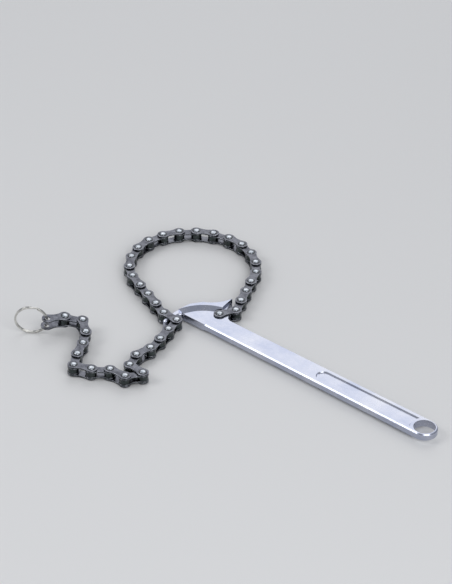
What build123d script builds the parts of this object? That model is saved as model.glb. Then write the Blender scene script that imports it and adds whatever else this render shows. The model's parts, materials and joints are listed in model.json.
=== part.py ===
"""Chain oil filter wrench: a flat forged handle with a hook, a roller chain and a split ring.

Units are millimetres. The origin is the centre of the hanging hole, halfway through the
handle's thickness. +X runs along the handle to the jaw, +Y to the side where the hook
points, and +Z up, square to the handle's flat faces. The chain is hooked into a loop.
"""

import os
from math import cos, radians, sin, sqrt

from build123d import *

# Roller chain, half inch pitch
pitch = 12.7
pin_diameter = 3.6
bush_clearance = 0.08
roller_diameter = 7.75
plate_thickness = 1.0
plate_end_diameter = 8.3
plate_waist = 5.8
inner_gap = 3.3
side_play = 0.15
rivet_height = 0.75

# The chain repeats, so its round parts have this many flat sides
plate_sides = 12
roller_sides = 10
pin_sides = 8

# Route of the chain, from the anchor pin round to the hook and out to the ring
anchor_heading = -115.5
near_run_links = 4
arc_links = 13
far_run_links = 4
hooked_heading = 176.5
tail_turns = [-72, 0, -5, -17, 28, 66, -117, -55, 35, -16, -81, -8, 10, 18, 70, 31]
leaning_links = 7
joint_lean = 1.45

# Handle
anchor_distance = 184.0
anchor_offset = -8.2
anchor_boss_radius = 7.4
boss_root_radius = 5.0
neck_width = 16.0
grip_width = 17.8
hanging_hole_diameter = 15.0
edge_bevel = 0.8
recess_start = 94.0
recess_depth = 0.9
recess_taper = 30.0
recess_rim = 3.2
hole_rim = 2.2

# Jaw and hook, where places are measured from the anchor pin
jaw_heel = (17.0, -2.2)
jaw_tip = (4.4, -19.3)
jaw_radius = 24.0
horn_root = (-1.0, -7.2)
shoulder = (22.4, 6.0)
hook_reach = 6.9
hook_clearance = 0.3
hook_taper = 3.0
hook_root_gap = 4.8
hook_overhang = 2.2
hook_tip_radius = 1.3
hook_root_radius = 3.5
heel_radius = 3.0
horn_tip_radius = 0.8
pad_inner_corner = (3.0, -8.0)
pad_ramp_centre = (-7.0, 24.3)
pad_ramp_radius = 27.5
pad_ramp_width = 4.5
pad_anchor_clearance = 1.2

# Split ring
ring_diameter = 23.5
ring_wire = 1.3
ring_coil = 0.95
ring_gap = 0.4
ring_gap_turn = 65.0
ring_turn = -25.0

# Stack of the chain, from its middle plane outwards
inner_half = inner_gap / 2 + plate_thickness
outer_gap_half = inner_half + side_play
outer_half = outer_gap_half + plate_thickness
chain_half = outer_half + rivet_height
bush_bore = pin_diameter + 2 * bush_clearance
handle_thickness = 2 * inner_half
loop_links = 1 + near_run_links + arc_links + far_run_links + 1
link_count = loop_links + len(tail_turns)
anchor = Vector(anchor_distance, anchor_offset)


def step(point, heading):
    """The next pin, one pitch from point along a heading in degrees."""
    return point + Vector(pitch * cos(radians(heading)), pitch * sin(radians(heading)))


def loop_headings(run_heading, turn):
    """Headings of the links from the anchor pin to the hooked link's far pin."""
    headings = [anchor_heading]
    headings += [run_heading] * near_run_links
    headings += [run_heading + turn * n for n in range(1, arc_links + 1)]
    headings += [run_heading + turn * (arc_links + 1)] * far_run_links
    return headings


def end_of(headings):
    """Where a run of links from the anchor pin ends."""
    point = anchor
    for heading in headings:
        point = step(point, heading)
    return point


def close_loop(target):
    """The near run's heading and the arc's turn per link that bring the loop to target."""
    run_heading, turn, nudge = -70.0, 16.0, 0.01
    for _ in range(12):
        end = end_of(loop_headings(run_heading, turn))
        by_run = (end_of(loop_headings(run_heading + nudge, turn)) - end) * (1 / nudge)
        by_turn = (end_of(loop_headings(run_heading, turn + nudge)) - end) * (1 / nudge)
        gap = target - end
        area = by_run.X * by_turn.Y - by_run.Y * by_turn.X
        run_heading += (gap.X * by_turn.Y - gap.Y * by_turn.X) / area
        turn += (by_run.X * gap.Y - by_run.Y * gap.X) / area
    return run_heading, turn


# The hook passes through the middle of the hooked link, whose inner pin rests against it
hook_x = anchor_distance + jaw_heel[0] + hook_reach
hooked_y = neck_width / 2 + hook_root_gap + plate_end_diameter / 2
half_link = Vector(cos(radians(hooked_heading)), sin(radians(hooked_heading))) * (pitch / 2)
hooked_far_pin = Vector(hook_x, hooked_y) - half_link
headings = loop_headings(*close_loop(hooked_far_pin)) + [hooked_heading]
for tail_turn in tail_turns:
    headings.append(headings[-1] + tail_turn)


def link_planes():
    """A plane for each link: origin at its first pin, x along the link, z along its pins."""
    planes = []
    point = anchor
    for number, heading in enumerate(headings):
        lean = radians(joint_lean * max(0, number + 1 + leaning_links - link_count))
        along = Vector(cos(radians(heading)), sin(radians(heading)), 0)
        slope = along.X * sin(lean) / cos(lean)
        along = Vector(along.X, along.Y, slope).normalized()
        planes.append(Plane(point, x_dir=along, z_dir=(-sin(lean), 0, cos(lean))))
        point = point + along * pitch
    return planes


planes = link_planes()
pin_spots = ((0, 0), (pitch, 0))


def plate_outline():
    """A link plate's outline: a round end at each pin and a narrower waist between."""
    with BuildSketch() as outline:
        with Locations(*pin_spots):
            RegularPolygon(plate_end_diameter / 2, plate_sides)
        with Locations((pitch / 2, 0)):
            Rectangle(pitch, plate_waist)
    return outline.sketch


def make_outer_link(plane, is_last):
    """Two outer plates on riveted pins. The last link has a hole for the ring instead."""
    riveted = pin_spots[:1] if is_last else pin_spots
    with BuildPart() as plates:
        for foot in (outer_gap_half, -outer_half):
            with BuildSketch(plane.offset(foot)):
                add(plate_outline())
                with Locations(*riveted):
                    RegularPolygon(pin_diameter / 2, pin_sides, mode=Mode.SUBTRACT)
                if is_last:
                    with Locations(pin_spots[1]):
                        Circle(pin_diameter / 2, mode=Mode.SUBTRACT)
            extrude(amount=plate_thickness)
    with BuildPart() as pins:
        with BuildSketch(plane.offset(-chain_half)):
            with Locations(*riveted):
                RegularPolygon(pin_diameter / 2, pin_sides)
        extrude(amount=2 * chain_half)
    return Compound(children=[plates.part, pins.part])


def make_inner_link(plane):
    """Two inner plates on bushes, with a roller round each bush."""
    with BuildPart() as link:
        for foot in (inner_gap / 2, -inner_half):
            with BuildSketch(plane.offset(foot)):
                add(plate_outline())
            extrude(amount=plate_thickness)
        with BuildSketch(plane.offset(-inner_gap / 2)):
            with Locations(*pin_spots):
                RegularPolygon(roller_diameter / 2, roller_sides)
        extrude(amount=inner_gap)
        with BuildSketch(plane.offset(-inner_half)):
            with Locations(*pin_spots):
                RegularPolygon(bush_bore / 2, pin_sides, major_radius=False)
        extrude(amount=handle_thickness, mode=Mode.SUBTRACT)
    return link.part


def from_anchor(place):
    """A place in the handle's plane, given as measured from the anchor pin."""
    return (anchor.X + place[0], anchor.Y + place[1])


def cut_jaw():
    """Takes the concave jaw, an arc from heel to tip, out of the sketch being built."""
    chord = Vector(*jaw_tip) - Vector(*jaw_heel)
    depth = sqrt(jaw_radius**2 - chord.length**2 / 4)
    outward = Vector(-chord.Y, chord.X).normalized()
    centre = (Vector(*jaw_heel) + Vector(*jaw_tip)) * 0.5 + outward * depth
    with Locations(from_anchor((centre.X, centre.Y))):
        Circle(jaw_radius, mode=Mode.SUBTRACT)


def half_width(x):
    """Half the handle's width at x, which tapers from the hanging end to the neck."""
    share = min(1, x / anchor.X)
    return (grip_width + (neck_width - grip_width) * share) / 2


hook_half = (pitch - plate_end_diameter) / 2 - hook_clearance
hook_tip_y = hooked_y + plate_end_diameter / 2 + hook_overhang
slant = sin(radians(hook_taper)) / cos(radians(hook_taper))


def hook_corner(side, y):
    """A corner of the tapered hook at height y, on its left or right side."""
    return (hook_x + side * (hook_half + (hooked_y - y) * slant), y)


def round_corner(places, radius):
    """Rounds the sketch corners nearest to the given places."""
    for place in places:
        fillet(outline.vertices().sort_by_distance(place)[0], radius)


with BuildPart() as handle:
    # Shank, head and hook, all one flat forging
    with BuildSketch(Plane.XY.offset(-inner_half)) as outline:
        Circle(grip_width / 2)
        with BuildLine():
            Polyline(
                (0, half_width(0)),
                (anchor.X, half_width(anchor.X)),
                (anchor.X, -half_width(anchor.X)),
                (0, -half_width(0)),
                close=True,
            )
        make_face()
        with Locations(anchor):
            Circle(anchor_boss_radius)
        with BuildLine():
            Polyline(
                (anchor.X, neck_width / 2),
                hook_corner(-1, neck_width / 2),
                hook_corner(-1, hook_tip_y),
                hook_corner(1, hook_tip_y),
                hook_corner(1, neck_width / 2),
                from_anchor(shoulder),
                from_anchor(jaw_heel),
                from_anchor(jaw_tip),
                from_anchor(horn_root),
                (anchor.X, anchor.Y),
                close=True,
            )
        make_face()
        cut_jaw()
        round_corner([hook_corner(side, hook_tip_y) for side in (-1, 1)], hook_tip_radius)
        round_corner([hook_corner(-1, neck_width / 2)], hook_root_radius)
        round_corner([from_anchor(jaw_heel), from_anchor(shoulder)], heel_radius)
        round_corner([from_anchor(jaw_tip)], horn_tip_radius)
        round_corner([(anchor.X - anchor_boss_radius, -neck_width / 2)], boss_root_radius)
    extrude(amount=handle_thickness)
    rims = handle.edges().filter_by(Plane.XY).group_by(Axis.Z)
    chamfer(rims[-1] + rims[0], edge_bevel)

    # The jaw is as thick as the chain, with a ramp down to the shank's flat faces
    with BuildSketch(Plane.XY.offset(-chain_half)):
        with BuildLine():
            Polyline(
                from_anchor(jaw_tip),
                from_anchor(pad_inner_corner),
                (anchor.X, anchor.Y),
                (anchor.X, neck_width / 2),
                hook_corner(0, neck_width / 2),
                from_anchor(shoulder),
                from_anchor(jaw_heel),
                close=True,
            )
        make_face()
        cut_jaw()
    extrude(amount=2 * chain_half)
    for side in (-1, 1):
        middle = side * (inner_half + chain_half) / 2
        with Locations((*from_anchor(pad_ramp_centre), middle)):
            Cone(
                pad_ramp_radius + pad_ramp_width * (side < 0),
                pad_ramp_radius + pad_ramp_width * (side > 0),
                chain_half - inner_half,
                mode=Mode.SUBTRACT,
            )
        with Locations((anchor.X, anchor.Y, middle)):
            Cylinder(
                plate_end_diameter / 2 + pad_anchor_clearance,
                chain_half - inner_half,
                mode=Mode.SUBTRACT,
            )

    # A panel sunk in each face, ending in an arc round the hanging hole
    for side in (-1, 1):
        face_plane = Plane.XY.offset(side * inner_half)
        panel_end = anchor.X - recess_start
        start_half = half_width(panel_end) - recess_rim
        with BuildSketch(face_plane):
            with BuildLine():
                Polyline(
                    (0, half_width(0) - recess_rim),
                    (panel_end - start_half, start_half),
                    (panel_end - start_half, -start_half),
                    (0, recess_rim - half_width(0)),
                    close=True,
                )
            make_face()
            with Locations((panel_end - start_half, 0)):
                Circle(start_half)
            Circle(hanging_hole_diameter / 2 + hole_rim, mode=Mode.SUBTRACT)
        extrude(amount=-side * recess_depth, taper=recess_taper, mode=Mode.SUBTRACT)

    # The hanging hole and the anchor pin's bore
    with BuildSketch(Plane.XY.offset(-inner_half)):
        Circle(hanging_hole_diameter / 2)
        with Locations(anchor):
            Circle(bush_bore / 2)
    extrude(amount=handle_thickness, mode=Mode.SUBTRACT)

# The split ring stands on the floor and hangs in the last link's end hole
end_plane = planes[-1]
end_hole = end_plane.from_local_coords((pitch, 0, 0))
ring_mean_radius = (ring_diameter - ring_wire) / 2
ring_out = end_plane.x_dir.rotate(Axis((0, 0, 0), end_plane.z_dir), ring_turn)
ring_side = ring_out.cross(end_plane.z_dir)
ring_low = end_hole.Z + ring_mean_radius * ring_out.Z
ring_low -= sqrt(1 - ring_side.Z**2) * ring_diameter / 2 + ring_coil * abs(ring_side.Z)
ring_drop = (ring_low + chain_half) / end_plane.z_dir.Z
ring_reach = sqrt(ring_mean_radius**2 - ring_drop**2)
ring_centre = end_hole + ring_out * ring_reach - end_plane.z_dir * ring_drop
ring_plane = Plane(ring_centre, x_dir=ring_out, z_dir=ring_side)

with BuildPart() as split_ring:
    for side in (-1, 1):
        with BuildSketch(ring_plane.offset(min(side, 0) * ring_coil)):
            Circle(ring_diameter / 2)
            Circle(ring_diameter / 2 - ring_wire, mode=Mode.SUBTRACT)
            with Locations(Location((0, 0), side * ring_gap_turn)):
                with Locations((ring_mean_radius, 0)):
                    Rectangle(2 * ring_wire, ring_gap, mode=Mode.SUBTRACT)
        extrude(amount=ring_coil)

os.makedirs("parts", exist_ok=True)
handle.part.label = "handle"
export_step(handle.part, "parts/handle.step")
split_ring.part.label = "split_ring"
export_step(split_ring.part, "parts/split_ring.step")

for number, plane in enumerate(planes, start=1):
    if number % 2:
        link_part = make_outer_link(plane, is_last=number == link_count)
        link_part.label = f"outer_link_{number:02d}"
    else:
        link_part = make_inner_link(plane)
        link_part.label = f"inner_link_{number:02d}"
    export_step(link_part, f"parts/{link_part.label}.step")
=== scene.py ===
"""Chain oil filter wrench: forged chrome handle, oiled roller chain and bright split ring.

Units are metres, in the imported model's own frame. The chain's links are placed by the
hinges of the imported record, so each link stays on the pins that carry it.
"""

import json
import logging
import math
from dataclasses import dataclass
from enum import Enum, IntEnum

import bmesh
import bpy
from mathutils import Matrix, Vector


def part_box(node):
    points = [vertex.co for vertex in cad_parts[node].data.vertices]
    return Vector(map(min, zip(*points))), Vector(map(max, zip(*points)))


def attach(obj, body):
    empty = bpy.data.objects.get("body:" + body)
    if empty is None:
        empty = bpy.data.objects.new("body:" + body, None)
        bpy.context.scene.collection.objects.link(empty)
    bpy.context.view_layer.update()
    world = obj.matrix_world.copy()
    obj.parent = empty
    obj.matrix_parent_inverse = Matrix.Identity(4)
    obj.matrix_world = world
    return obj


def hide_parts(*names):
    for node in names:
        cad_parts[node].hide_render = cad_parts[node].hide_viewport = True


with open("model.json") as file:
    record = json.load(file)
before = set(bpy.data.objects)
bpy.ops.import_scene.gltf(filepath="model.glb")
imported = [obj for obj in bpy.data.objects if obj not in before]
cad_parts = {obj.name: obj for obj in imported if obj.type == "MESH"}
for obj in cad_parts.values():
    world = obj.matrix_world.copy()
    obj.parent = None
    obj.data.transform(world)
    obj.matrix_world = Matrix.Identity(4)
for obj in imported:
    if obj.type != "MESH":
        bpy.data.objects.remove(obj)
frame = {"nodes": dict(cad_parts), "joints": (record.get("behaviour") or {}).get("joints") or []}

MM = 0.001

log = logging.getLogger("chain_wrench")


class Slot(Enum):
    """The record's material slots."""

    CHROME = "forged_chrome"
    OUTER = "outer_link_steel"
    INNER = "inner_link_steel"
    RING = "ring_steel"


class Skin(IntEnum):
    """The chain's finishes, in the order of each link's material slots: the rims carry a painted
    highlight, the walls and rollers painted shade, and the ring round each pin oil with painted
    shade.
    """

    FACE = 0
    RIM = 1
    WALL = 2
    PIN = 3
    ROLLER = 4
    OIL = 5


def linear(colour: str) -> tuple[float, float, float, float]:
    """Turns an sRGB hex colour to linear light.

    Args:
        colour: Six hex digits.

    Returns:
        Red, green, blue and an alpha of 1.
    """
    parts = [int(colour[place : place + 2], 16) / 255 for place in (0, 2, 4)]
    light = [
        part / 12.92 if part <= 0.04045 else ((part + 0.055) / 1.055) ** 2.4
        for part in parts
    ]
    return (light[0], light[1], light[2], 1.0)


def add_node(
    tree: bpy.types.NodeTree,
    kind: str,
    settings: dict[str | int, object] | None = None,
    links: dict[str | int, bpy.types.NodeSocket] | None = None,
) -> bpy.types.Node:
    """Adds a node with its settings and its incoming links.

    Args:
        tree: The node tree that gets it.
        kind: The node's type name.
        settings: Values of its inputs, or of its own properties.
        links: The socket that feeds each input.

    Returns:
        The new node.
    """
    node = tree.nodes.new(kind)
    for key, value in (settings or {}).items():
        if isinstance(key, int) or key in node.inputs:
            node.inputs[key].default_value = value
        else:
            setattr(node, key, value)
    for key, socket in (links or {}).items():
        tree.links.new(socket, node.inputs[key])
    return node


@dataclass(frozen=True)
class MetalFinish:
    """A metal surface with blotches, fine grain and the marks of its making."""

    name: str
    light: str
    dark: str
    blotch_mm: float
    grain_mm: float
    grain_depth_mm: float
    smooth: float
    rough: float
    marks_mm: float = 0.0
    marks_depth_mm: float = 0.0
    marks_turn: float = 0.0
    film: float = 0.0
    film_rough: float = 0.1

    def build(self) -> bpy.types.Material:
        """Makes the material.

        Returns:
            The material, with its colour, roughness and bump from object coordinates.
        """
        material = bpy.data.materials.new(self.name)
        material.use_nodes = True
        tree = material.node_tree
        shader = tree.nodes["Principled BSDF"]
        shader.inputs["Metallic"].default_value = 1.0
        shader.inputs["Coat Weight"].default_value = self.film
        shader.inputs["Coat Roughness"].default_value = self.film_rough
        place = add_node(tree, "ShaderNodeTexCoord").outputs["Object"]
        blotch = add_node(
            tree,
            "ShaderNodeTexNoise",
            {"Scale": 1 / (self.blotch_mm * MM), "Detail": 4.0, "Roughness": 0.6},
            {"Vector": place},
        )
        colour = add_node(
            tree,
            "ShaderNodeMix",
            {"data_type": "RGBA", 6: linear(self.dark), 7: linear(self.light)},
            {"Factor": self.spread(tree, blotch.outputs["Fac"], 0.0, 1.0)},
        )
        tree.links.new(colour.outputs[2], shader.inputs["Base Color"])
        grain = add_node(
            tree,
            "ShaderNodeTexNoise",
            {"Scale": 1 / (self.grain_mm * MM), "Detail": 3.0},
            {"Vector": place},
        )
        both = add_node(
            tree,
            "ShaderNodeMath",
            {"operation": "MULTIPLY_ADD", 1: 0.5},
            {0: grain.outputs["Fac"], 2: self.halve(tree, blotch.outputs["Fac"])},
        )
        gloss = self.spread(tree, both.outputs[0], self.smooth, self.rough)
        tree.links.new(gloss, shader.inputs["Roughness"])
        bump = add_node(
            tree,
            "ShaderNodeBump",
            {"Distance": self.grain_depth_mm * MM, "Strength": 1.0},
            {"Height": grain.outputs["Fac"]},
        )
        if self.marks_mm:
            bump = self.add_marks(tree, place, bump)
        tree.links.new(bump.outputs["Normal"], shader.inputs["Normal"])
        return material

    def halve(
        self, tree: bpy.types.NodeTree, value: bpy.types.NodeSocket
    ) -> bpy.types.NodeSocket:
        """Gives half of a value."""
        half = add_node(
            tree, "ShaderNodeMath", {"operation": "MULTIPLY", 1: 0.5}, {0: value}
        )
        return half.outputs[0]

    def spread(
        self,
        tree: bpy.types.NodeTree,
        value: bpy.types.NodeSocket,
        low: float,
        high: float,
    ) -> bpy.types.NodeSocket:
        """Spreads the middle band of a noise over a range.

        Args:
            tree: The node tree.
            value: The noise.
            low: What the band's low end becomes.
            high: What its high end becomes.

        Returns:
            The socket with the spread value.
        """
        band = add_node(
            tree,
            "ShaderNodeMapRange",
            {"From Min": 0.32, "From Max": 0.68, "To Min": low, "To Max": high},
            {"Value": value},
        )
        return band.outputs["Result"]

    def add_marks(
        self,
        tree: bpy.types.NodeTree,
        place: bpy.types.NodeSocket,
        under: bpy.types.Node,
    ) -> bpy.types.Node:
        """Adds fine polishing marks, long in one direction.

        Args:
            tree: The node tree.
            place: Object coordinates.
            under: The bump node that the marks go over.

        Returns:
            The bump node with both.
        """
        turned = add_node(
            tree,
            "ShaderNodeMapping",
            {"Rotation": (0, 0, math.radians(self.marks_turn)), "Scale": (0.03, 1, 1)},
            {"Vector": place},
        )
        marks = add_node(
            tree,
            "ShaderNodeTexNoise",
            {"Scale": 1 / (self.marks_mm * MM), "Detail": 2.0},
            {"Vector": turned.outputs["Vector"]},
        )
        return add_node(
            tree,
            "ShaderNodeBump",
            {"Distance": self.marks_depth_mm * MM, "Strength": 1.0},
            {"Height": marks.outputs["Fac"], "Normal": under.outputs["Normal"]},
        )


# Satin chrome over a drop forging: cool blue-grey, with soft waves left by hammer and belt
SATIN_CHROME = MetalFinish(
    "satin_chrome_forging",
    light="C8CAD4",
    dark="AAB0C4",
    blotch_mm=26.0,
    grain_mm=0.8,
    grain_depth_mm=0.002,
    smooth=0.2,
    rough=0.3,
    marks_mm=0.6,
    marks_depth_mm=0.003,
)

# Tumbled and heat treated carbon steel under a film of oil: the plates' flat faces
OILED_PLATE = MetalFinish(
    "oiled_blackened_plate",
    light="74767F",
    dark="383A44",
    blotch_mm=4.5,
    grain_mm=0.4,
    grain_depth_mm=0.004,
    smooth=0.2,
    rough=0.38,
    film=0.4,
    film_rough=0.12,
)

# The plates' eased rims, painted bright as a painted highlight along every edge
PAINTED_HIGHLIGHT_RIM = MetalFinish(
    "painted_highlight_plate_rim",
    light="BFC1C9",
    dark="6A6D78",
    blotch_mm=2.5,
    grain_mm=0.4,
    grain_depth_mm=0.003,
    smooth=0.14,
    rough=0.3,
    film=0.3,
    film_rough=0.1,
)

# The plates' upright walls, painted near black as painted shade, which draws each link's outline
PAINTED_SHADE_WALL = MetalFinish(
    "painted_shade_plate_wall",
    light="2C3534",
    dark="101614",
    blotch_mm=3.0,
    grain_mm=0.3,
    grain_depth_mm=0.006,
    smooth=0.22,
    rough=0.42,
    film=0.4,
    film_rough=0.15,
)

# Pin ends upset by a spinning tool, which wear bright and catch the light
RIVET_STEEL = MetalFinish(
    "riveted_pin_steel",
    light="D8DCE2",
    dark="8E969F",
    blotch_mm=1.8,
    grain_mm=0.3,
    grain_depth_mm=0.003,
    smooth=0.14,
    rough=0.3,
    film=0.3,
    film_rough=0.1,
)

# Hardened rollers, worn smooth, painted near black as painted shade between the plates, with
# hard bright glints from their coat
ROLLER_STEEL = MetalFinish(
    "painted_shade_roller_steel",
    light="3F4949",
    dark="161D1B",
    blotch_mm=3.5,
    grain_mm=0.4,
    grain_depth_mm=0.003,
    smooth=0.12,
    rough=0.28,
    film=0.6,
    film_rough=0.08,
)

# Old oil that has crept out round each pin's head, made darker as painted shade round the head,
# which rings the head in black
CREPT_OIL_AND_SHADE = MetalFinish(
    "crept_oil_and_painted_shade_round_pin",
    light="1C2321",
    dark="0A0E0D",
    blotch_mm=1.5,
    grain_mm=0.3,
    grain_depth_mm=0.003,
    smooth=0.1,
    rough=0.3,
    film=0.7,
    film_rough=0.08,
)

# Spring wire, nickel plated and bright, with fine handling scratches
RING_NICKEL = MetalFinish(
    "nickel_plated_spring_wire",
    light="E6E5E0",
    dark="B9B8B4",
    blotch_mm=4.0,
    grain_mm=0.4,
    grain_depth_mm=0.002,
    smooth=0.1,
    rough=0.22,
    marks_mm=0.25,
    marks_depth_mm=0.002,
)


def swing(
    bm: bmesh.types.BMesh,
    start: bmesh.types.BMVert,
    centre: tuple[float, float],
    degrees: float,
    steps: int,
) -> bmesh.types.BMVert:
    """Draws an arc from a point, round a centre in the z = 0 plane.

    Args:
        bm: The mesh being drawn.
        start: The point that the arc starts from.
        centre: The arc's centre.
        degrees: How far it turns, anticlockwise.
        steps: Into how many edges.

    Returns:
        The arc's last point.
    """
    arc = bmesh.ops.spin(
        bm,
        geom=[start],
        cent=(*centre, 0),
        axis=(0, 0, 1),
        angle=math.radians(degrees),
        steps=steps,
        use_duplicate=False,
    )
    return next(part for part in arc["geom_last"] if isinstance(part, bmesh.types.BMVert))


def turn_profile(
    places: list[tuple[float, float]], steps: int
) -> bmesh.types.BMesh:
    """Turns a profile round the z axis, as on a lathe.

    Args:
        places: Radius and height of each point, from end to end.
        steps: How many sides the turned shape gets.

    Returns:
        The turned mesh.
    """
    bm = bmesh.new()
    points = [bm.verts.new((radius, 0, height)) for radius, height in places]
    edges = [bm.edges.new(pair) for pair in zip(points, points[1:])]
    bmesh.ops.spin(
        bm,
        geom=points + edges,
        cent=(0, 0, 0),
        axis=(0, 0, 1),
        angle=math.tau,
        steps=steps,
        use_merge=True,
        use_duplicate=False,
    )
    bmesh.ops.remove_doubles(bm, verts=bm.verts[:], dist=1e-7)
    bmesh.ops.recalc_face_normals(bm, faces=bm.faces[:])
    return bm


def paint(part: bmesh.types.BMesh, skin: Skin) -> bmesh.types.BMesh:
    """Gives a whole part one of the chain's finishes, and hands it back."""
    for face in part.faces:
        face.material_index = skin
    return part


def join(whole: bmesh.types.BMesh, part: bmesh.types.BMesh) -> None:
    """Adds a part to a whole, with the finishes of its faces, and frees the part."""
    flat = bpy.data.meshes.new("part")
    part.to_mesh(flat)
    part.free()
    whole.from_mesh(flat)
    bpy.data.meshes.remove(flat)


def is_upright(edge: bmesh.types.BMEdge) -> bool:
    """Tells whether an edge stands square to the handle's flat faces."""
    start, end = (vert.co for vert in edge.verts)
    return abs(end.z - start.z) > 0.9 * edge.calc_length()


def round_edges(
    bm: bmesh.types.BMesh,
    least: float,
    width: float,
    segments: int,
    least_upright: float | None = None,
) -> list[bmesh.types.BMFace]:
    """Rounds every edge that turns by more than an angle.

    Args:
        bm: The mesh.
        least: The least angle in degrees.
        width: How far from the edge the rounding starts.
        segments: Into how many strips.
        least_upright: The least angle of upright edges, where it differs, so that the
            flats of a round wall aren't taken for corners.

    Returns:
        The strips' faces.
    """
    upright = least if least_upright is None else least_upright
    sharp = [
        edge
        for edge in bm.edges
        if edge.is_manifold
        and edge.calc_face_angle() > math.radians(upright if is_upright(edge) else least)
    ]
    rounded = bmesh.ops.bevel(
        bm,
        geom=sharp,
        offset=width,
        segments=segments,
        profile=0.5,
        affect="EDGES",
        clamp_overlap=True,
        material=-1,
    )
    return rounded["faces"]


def make_piece(
    name: str,
    bm: bmesh.types.BMesh,
    materials: list[bpy.types.Material],
    body: str,
    nodes: list[str],
) -> bpy.types.Object:
    """Makes a finished piece that stands for CAD nodes and rides on their body.

    Args:
        name: The piece's name.
        bm: Its mesh, in place. It is freed.
        materials: Its materials, in the order of the mesh's slots.
        body: The body that it rides on.
        nodes: The nodes that it replaces.

    Returns:
        The piece.
    """
    mesh = bpy.data.meshes.new(name)
    bm.to_mesh(mesh)
    bm.free()
    mesh.shade_smooth()
    for material in materials:
        mesh.materials.append(material)
    piece = bpy.data.objects.new(name, mesh)
    bpy.context.scene.collection.objects.link(piece)
    weighted = piece.modifiers.new("weighted_normals", "WEIGHTED_NORMAL")
    weighted.weight = 100
    weighted.keep_sharp = True
    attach(piece, body)
    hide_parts(*nodes)
    log.info("%s rides on %s", name, body)
    return piece


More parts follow.
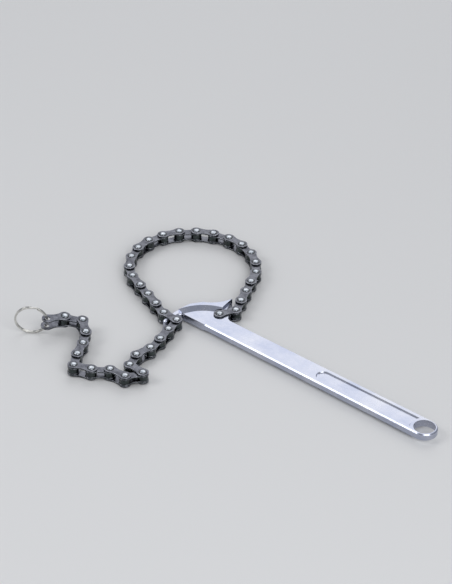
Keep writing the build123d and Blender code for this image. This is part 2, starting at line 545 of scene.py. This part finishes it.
@dataclass
class RollerChain:
    """The half inch roller chain: link plates, riveted pins and rollers."""

    pitch: float = 12.7 * MM
    plate_end: float = 8.28 * MM
    plate_waist: float = 5.8 * MM
    plate_thickness: float = 1.0 * MM
    plate_rounding: float = 0.16 * MM
    pin_radius: float = 1.8 * MM
    bush_bore: float = 1.9 * MM
    rivet_radius: float = 2.2 * MM
    oil_and_shade_radius: float = 2.95 * MM
    rivet_height: float = 0.75 * MM
    roller_radius: float = 3.87 * MM
    roller_rounding: float = 0.35 * MM
    inner_gap: float = 3.3 * MM
    side_play: float = 0.15 * MM
    end_steps: int = 14
    waist_steps: int = 6
    pin_steps: int = 28
    roller_steps: int = 36

    def plate(self, foot: float, bore: float) -> bmesh.types.BMesh:
        """Makes a link plate, pinched between its two round ends.

        Args:
            foot: Height of its lower face.
            bore: Radius of its two holes.

        Returns:
            The plate, with its first hole at the origin and its second along x.
        """
        middle = self.pitch / 2
        half = self.plate_waist / 2
        end = self.plate_end / 2
        waist = (middle**2 + half**2 - end**2) / (2 * (end - half))
        swept = math.degrees(math.atan(middle / (half + waist)))
        bm = bmesh.new()
        side = bm.verts.new((0, half, 0))
        shoulder = swing(bm, side, (0, half + waist), swept, self.waist_steps)
        tip = swing(bm, shoulder, (middle, 0), -90 - swept, self.end_steps)
        inner = bm.verts.new((middle - bore, 0, 0))
        outer = swing(bm, inner, (middle, 0), -180, self.end_steps)
        centre = bm.verts.new((0, 0, 0))
        for pair in ((tip, outer), (inner, centre), (centre, side)):
            bm.edges.new(pair)
        bmesh.ops.contextual_create(bm, geom=bm.edges[:])
        for axis in ("X", "Y"):
            parts = bm.verts[:] + bm.edges[:] + bm.faces[:]
            bmesh.ops.mirror(bm, geom=parts, axis=axis, merge_dist=1e-7)
        raised = bmesh.ops.extrude_face_region(
            bm, geom=bm.faces[:], use_keep_orig=True
        )
        lifted = [part for part in raised["geom"] if isinstance(part, bmesh.types.BMVert)]
        bmesh.ops.translate(bm, vec=(0, 0, self.plate_thickness), verts=lifted)
        bmesh.ops.recalc_face_normals(bm, faces=bm.faces[:])
        # Upright walls get the painted shade finish; flat faces keep the plate's own colour
        for face in bm.faces:
            face.material_index = Skin.FACE if abs(face.normal.z) > 0.5 else Skin.WALL
        # The rounded rims get the painted highlight finish
        for face in round_edges(bm, 60, self.plate_rounding, 3):
            face.material_index = Skin.RIM
        bmesh.ops.translate(bm, vec=(middle, 0, foot), verts=bm.verts[:])
        return bm

    @property
    def inner_half(self) -> float:
        """Half the width over the inner plates."""
        return self.inner_gap / 2 + self.plate_thickness

    @property
    def outer_half(self) -> float:
        """Half the width over the outer plates."""
        return self.inner_half + self.side_play + self.plate_thickness

    def pin(self, along: float) -> bmesh.types.BMesh:
        """Makes a pin with both ends upset into low heads.

        Args:
            along: How far along the link it stands.

        Returns:
            The pin.
        """
        face = self.outer_half
        radius, height = self.rivet_radius, self.rivet_height
        upper = [
            (self.pin_radius, face - 0.2 * MM),
            (radius - 0.08 * MM, face + 0.02 * MM),
            (radius, face + 0.2 * height),
            (radius - 0.04 * MM, face + 0.4 * height),
            (radius - 0.2 * MM, face + 0.62 * height),
            (radius - 0.5 * MM, face + 0.82 * height),
            (radius - 0.95 * MM, face + 0.95 * height),
            (radius - 1.5 * MM, face + height),
            (0, face + height),
        ]
        lower = [(reach, -level) for reach, level in reversed(upper)]
        bm = turn_profile(lower + upper, self.pin_steps)
        bmesh.ops.translate(bm, vec=(along, 0, 0), verts=bm.verts[:])
        return paint(bm, Skin.PIN)

    def oil(self, along: float, side: int) -> bmesh.types.BMesh:
        """Makes the thin dark ring round a pin's head: oil that has crept out, darkened further
        as painted shade.

        Args:
            along: How far along the link the pin stands.
            side: 1 for the upper plate's face, -1 for the lower one's.

        Returns:
            The dark ring of oil and painted shade.
        """
        face = self.outer_half
        profile = [
            (self.pin_radius, face - 0.05 * MM),
            (self.pin_radius, face + 0.12 * MM),
            (self.rivet_radius + 0.15 * MM, face + 0.1 * MM),
            (self.oil_and_shade_radius - 0.15 * MM, face + 0.04 * MM),
            (self.oil_and_shade_radius, face - 0.05 * MM),
            (self.pin_radius, face - 0.05 * MM),
        ]
        bm = turn_profile([(reach, side * level) for reach, level in profile], self.pin_steps)
        bmesh.ops.translate(bm, vec=(along, 0, 0), verts=bm.verts[:])
        return paint(bm, Skin.OIL)

    def roller(self, along: float) -> bmesh.types.BMesh:
        """Makes a roller with eased rims and a bore.

        Args:
            along: How far along the link it stands.

        Returns:
            The roller.
        """
        half = self.inner_gap / 2 - 0.06 * MM
        eased = self.roller_rounding
        outer, bore = self.roller_radius, self.bush_bore
        upper = [
            (outer, half - eased),
            (outer - 0.1 * eased, half - 0.55 * eased),
            (outer - 0.45 * eased, half - 0.12 * eased),
            (outer - eased, half),
            (bore, half),
        ]
        lower = [(radius, -height) for radius, height in reversed(upper)]
        bm = turn_profile([*lower, *upper, (bore, -half)], self.roller_steps)
        bmesh.ops.translate(bm, vec=(along, 0, 0), verts=bm.verts[:])
        return paint(bm, Skin.ROLLER)

    def outer_link(self, is_last: bool) -> bmesh.types.BMesh:
        """Makes two outer plates on their pins. The last link has only its first pin."""
        bm = bmesh.new()
        for foot in (self.outer_half - self.plate_thickness, -self.outer_half):
            join(bm, self.plate(foot, self.pin_radius))
        for along in (0,) if is_last else (0, self.pitch):
            join(bm, self.pin(along))
            for side in (-1, 1):
                join(bm, self.oil(along, side))
        return bm

    def inner_link(self) -> bmesh.types.BMesh:
        """Makes two inner plates with a roller at each end between them."""
        bm = bmesh.new()
        for foot in (self.inner_gap / 2, -self.inner_half):
            join(bm, self.plate(foot, self.bush_bore))
        for along in (0, self.pitch):
            join(bm, self.roller(along))
        return bm

    def places(self) -> list[tuple[str, Matrix]]:
        """Finds each link's node and its place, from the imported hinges.

        Returns:
            The node's name, and the matrix that brings a link from the origin to it.
        """
        hinges = [
            (joint["child"], Vector(joint["pos_m"]), Vector(joint["axis"]))
            for joint in frame["joints"]
        ]
        found = []
        for number in range(len(hinges) - 1):
            node, first, axis = hinges[number]
            second = hinges[number + 1][1]
            along = (second - first).normalized()
            if node.startswith("inner"):
                axis = axis + hinges[number + 1][2]
            up = (axis - along * axis.dot(along)).normalized()
            turned = Matrix((along, up.cross(along), up)).transposed().to_4x4()
            found.append((node, Matrix.Translation(first) @ turned))
        return found

    def build(self) -> None:
        """Builds every link in its place."""
        # The rims get a painted highlight, the walls and rollers painted shade, the ring round
        # each pin oil with painted shade
        skins = {
            Skin.FACE: OILED_PLATE,
            Skin.RIM: PAINTED_HIGHLIGHT_RIM,
            Skin.WALL: PAINTED_SHADE_WALL,
            Skin.PIN: RIVET_STEEL,
            Skin.ROLLER: ROLLER_STEEL,
            Skin.OIL: CREPT_OIL_AND_SHADE,
        }
        finishes = [skins[skin].build() for skin in Skin]
        places = self.places()
        patterns = {
            "outer": self.outer_link(is_last=False),
            "last": self.outer_link(is_last=True),
            "inner": self.inner_link(),
        }
        for node, place in places:
            is_last = node == places[-1][0]
            kind = "last" if is_last else node.split("_")[0]
            bm = patterns[kind].copy()
            bmesh.ops.transform(bm, matrix=place, verts=bm.verts[:])
            make_piece(f"chain_{node}", bm, finishes, node, [node])
        for pattern in patterns.values():
            pattern.free()


@dataclass
class Forging:
    """The handle with its jaw and hook, one drop forging with eased edges."""

    node: str = "handle"
    easing: float = 0.3 * MM
    easing_segments: int = 3
    flat_angle: float = 1.0
    edge_angle: float = 14.0
    corner_angle: float = 24.0

    def build(self) -> None:
        """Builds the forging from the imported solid, with its edges rounded over."""
        bm = bmesh.new()
        bm.from_mesh(frame["nodes"][self.node].data)
        bmesh.ops.remove_doubles(bm, verts=bm.verts[:], dist=1e-6)
        bmesh.ops.dissolve_limit(
            bm,
            angle_limit=math.radians(self.flat_angle),
            verts=bm.verts[:],
            edges=bm.edges[:],
        )
        round_edges(
            bm, self.edge_angle, self.easing, self.easing_segments, self.corner_angle
        )
        for face in bm.faces:
            face.material_index = 0
        materials = [SATIN_CHROME.build()]
        make_piece("handle_forging", bm, materials, self.node, [self.node])


@dataclass
class SplitRing:
    """The split ring: one wire wound twice, with a short jog from one coil to the other."""

    node: str = "split_ring"
    diameter: float = 23.5 * MM
    wire_width: float = 1.3 * MM
    wire_height: float = 0.93 * MM
    coil: float = 0.95 * MM
    wire_rounding: float = 0.3 * MM
    jog_degrees: float = 24.0
    jog_at: float = 115.0
    step_degrees: float = 4.0

    def build(self) -> None:
        """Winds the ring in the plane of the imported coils."""
        low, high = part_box(self.node)
        centre = (low + high) / 2
        swing_hinge = next(j for j in frame["joints"] if j["child"] == self.node)
        hung_from = Vector(swing_hinge["pos_m"])
        normal = (centre - hung_from).cross(Vector(swing_hinge["axis"]))
        bm = self.wind()
        turned = normal.to_track_quat("Z", "Y").to_matrix().to_4x4()
        place = Matrix.Translation(centre) @ turned
        bmesh.ops.transform(bm, matrix=place, verts=bm.verts[:])
        materials = [RING_NICKEL.build()]
        make_piece("split_ring_coil", bm, materials, self.node, [self.node])

    def wind(self) -> bmesh.types.BMesh:
        """Winds the wire twice round the z axis.

        Returns:
            The wound wire, with closed ends.
        """
        bm = bmesh.new()
        radius = (self.diameter - self.wire_width) / 2
        made = bmesh.ops.create_grid(bm, x_segments=1, y_segments=1, size=0.5)
        bmesh.ops.scale(
            bm, vec=(self.wire_width, self.wire_height, 1), verts=made["verts"]
        )
        bmesh.ops.bevel(
            bm,
            geom=bm.verts[:],
            offset=self.wire_rounding,
            segments=3,
            profile=0.5,
            affect="VERTICES",
            material=-1,
        )
        bmesh.ops.rotate(
            bm, cent=(0, 0, 0), matrix=Matrix.Rotation(math.pi / 2, 3, "X"), verts=bm.verts[:]
        )
        bmesh.ops.translate(bm, vec=(radius, 0, -self.coil / 2), verts=bm.verts[:])
        start = Matrix.Rotation(math.radians(self.jog_at), 3, "Z")
        bmesh.ops.rotate(bm, cent=(0, 0, 0), matrix=start, verts=bm.verts[:])
        section = bm.verts[:] + bm.edges[:] + bm.faces[:]
        full = 360.0 - self.jog_degrees
        for degrees, rise in ((full, 0.0), (self.jog_degrees, self.coil), (full, 0.0)):
            steps = round(degrees / self.step_degrees)
            wound = bmesh.ops.spin(
                bm,
                geom=section,
                cent=(0, 0, 0),
                axis=(0, 0, 1),
                dvec=(0, 0, rise / steps),
                angle=math.radians(degrees),
                steps=steps,
                use_duplicate=False,
            )
            section = wound["geom_last"]
        bmesh.ops.recalc_face_normals(bm, faces=bm.faces[:])
        return bm


@dataclass
class Studio:
    """The pale floor, the soft light and the camera."""

    floor_height: float = -4.6 * MM
    floor_size: float = 6.0
    floor_colour: str = "E4E4E4"
    camera_place: tuple[float, float, float] = (-0.7244, 1.1071, 0.9988)
    camera_heading: float = -51.0
    camera_dip: float = 34.18
    camera_roll: float = 1.83
    lens_mm: float = 154.1
    sensor_mm: float = 36.0

    def build(self) -> None:
        """Builds the floor, the lights and the camera."""
        self.add_camera()
        self.add_floor()
        self.add_world()
        self.add_lamp("key_lamp", (0.8, -0.9, 0.95), 1.0, 3.4)
        self.add_lamp("fill_lamp", (-0.9, 0.5, 0.9), 1.0, 8.0)
        self.add_lamp("edge_lamp", (0.75, 0.7, 0.8), 0.5, 2.6)
        bpy.context.scene.view_settings.view_transform = "Standard"

    def add_camera(self) -> None:
        """Adds the camera at the viewing angle of a long lens from above the handle."""
        data = bpy.data.cameras.new("camera")
        data.lens = self.lens_mm
        data.sensor_width = self.sensor_mm
        data.clip_end = 20.0
        camera = bpy.data.objects.new("camera", data)
        turn = Matrix.Rotation(math.radians(self.camera_heading - 90), 4, "Z")
        tilt = Matrix.Rotation(math.radians(90 - self.camera_dip), 4, "X")
        roll = Matrix.Rotation(math.radians(self.camera_roll), 4, "Z")
        camera.matrix_world = Matrix.Translation(self.camera_place) @ turn @ tilt @ roll
        bpy.context.scene.collection.objects.link(camera)
        bpy.context.scene.camera = camera

    def add_floor(self) -> None:
        """Adds the floor under the chain."""
        bm = bmesh.new()
        bmesh.ops.create_grid(bm, x_segments=1, y_segments=1, size=self.floor_size / 2)
        bmesh.ops.translate(bm, vec=(0, 0, self.floor_height), verts=bm.verts[:])
        mesh = bpy.data.meshes.new("floor")
        bm.to_mesh(mesh)
        bm.free()
        material = bpy.data.materials.new("pale_floor")
        material.use_nodes = True
        shader = material.node_tree.nodes["Principled BSDF"]
        shader.inputs["Base Color"].default_value = linear(self.floor_colour)
        shader.inputs["Roughness"].default_value = 0.6
        mesh.materials.append(material)
        floor = bpy.data.objects.new("floor", mesh)
        bpy.context.scene.collection.objects.link(floor)

    def add_world(self) -> None:
        """Sets the soft light all round."""
        world = bpy.data.worlds.new("studio")
        world.use_nodes = True
        background = world.node_tree.nodes["Background"]
        background.inputs["Color"].default_value = linear("DDE0E6")
        background.inputs["Strength"].default_value = 0.55
        bpy.context.scene.world = world

    def add_lamp(
        self, name: str, place: tuple[float, float, float], size: float, watts: float
    ) -> None:
        """Adds a square soft lamp that faces the middle of the wrench.

        Args:
            name: The lamp's name.
            place: Where it hangs.
            size: The length of its side.
            watts: Its power.
        """
        data = bpy.data.lights.new(name, "AREA")
        data.size = size
        data.energy = watts
        lamp = bpy.data.objects.new(name, data)
        aim = Vector((0.15, 0, 0)) - Vector(place)
        turned = aim.to_track_quat("-Z", "Y").to_matrix().to_4x4()
        lamp.matrix_world = Matrix.Translation(place) @ turned
        bpy.context.scene.collection.objects.link(lamp)


def main() -> None:
    """Builds the scene, piece by piece."""
    logging.basicConfig(level=logging.INFO)
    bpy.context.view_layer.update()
    Studio().build()
    Forging().build()
    RollerChain().build()
    SplitRing().build()


if __name__ == "__main__":
    main()
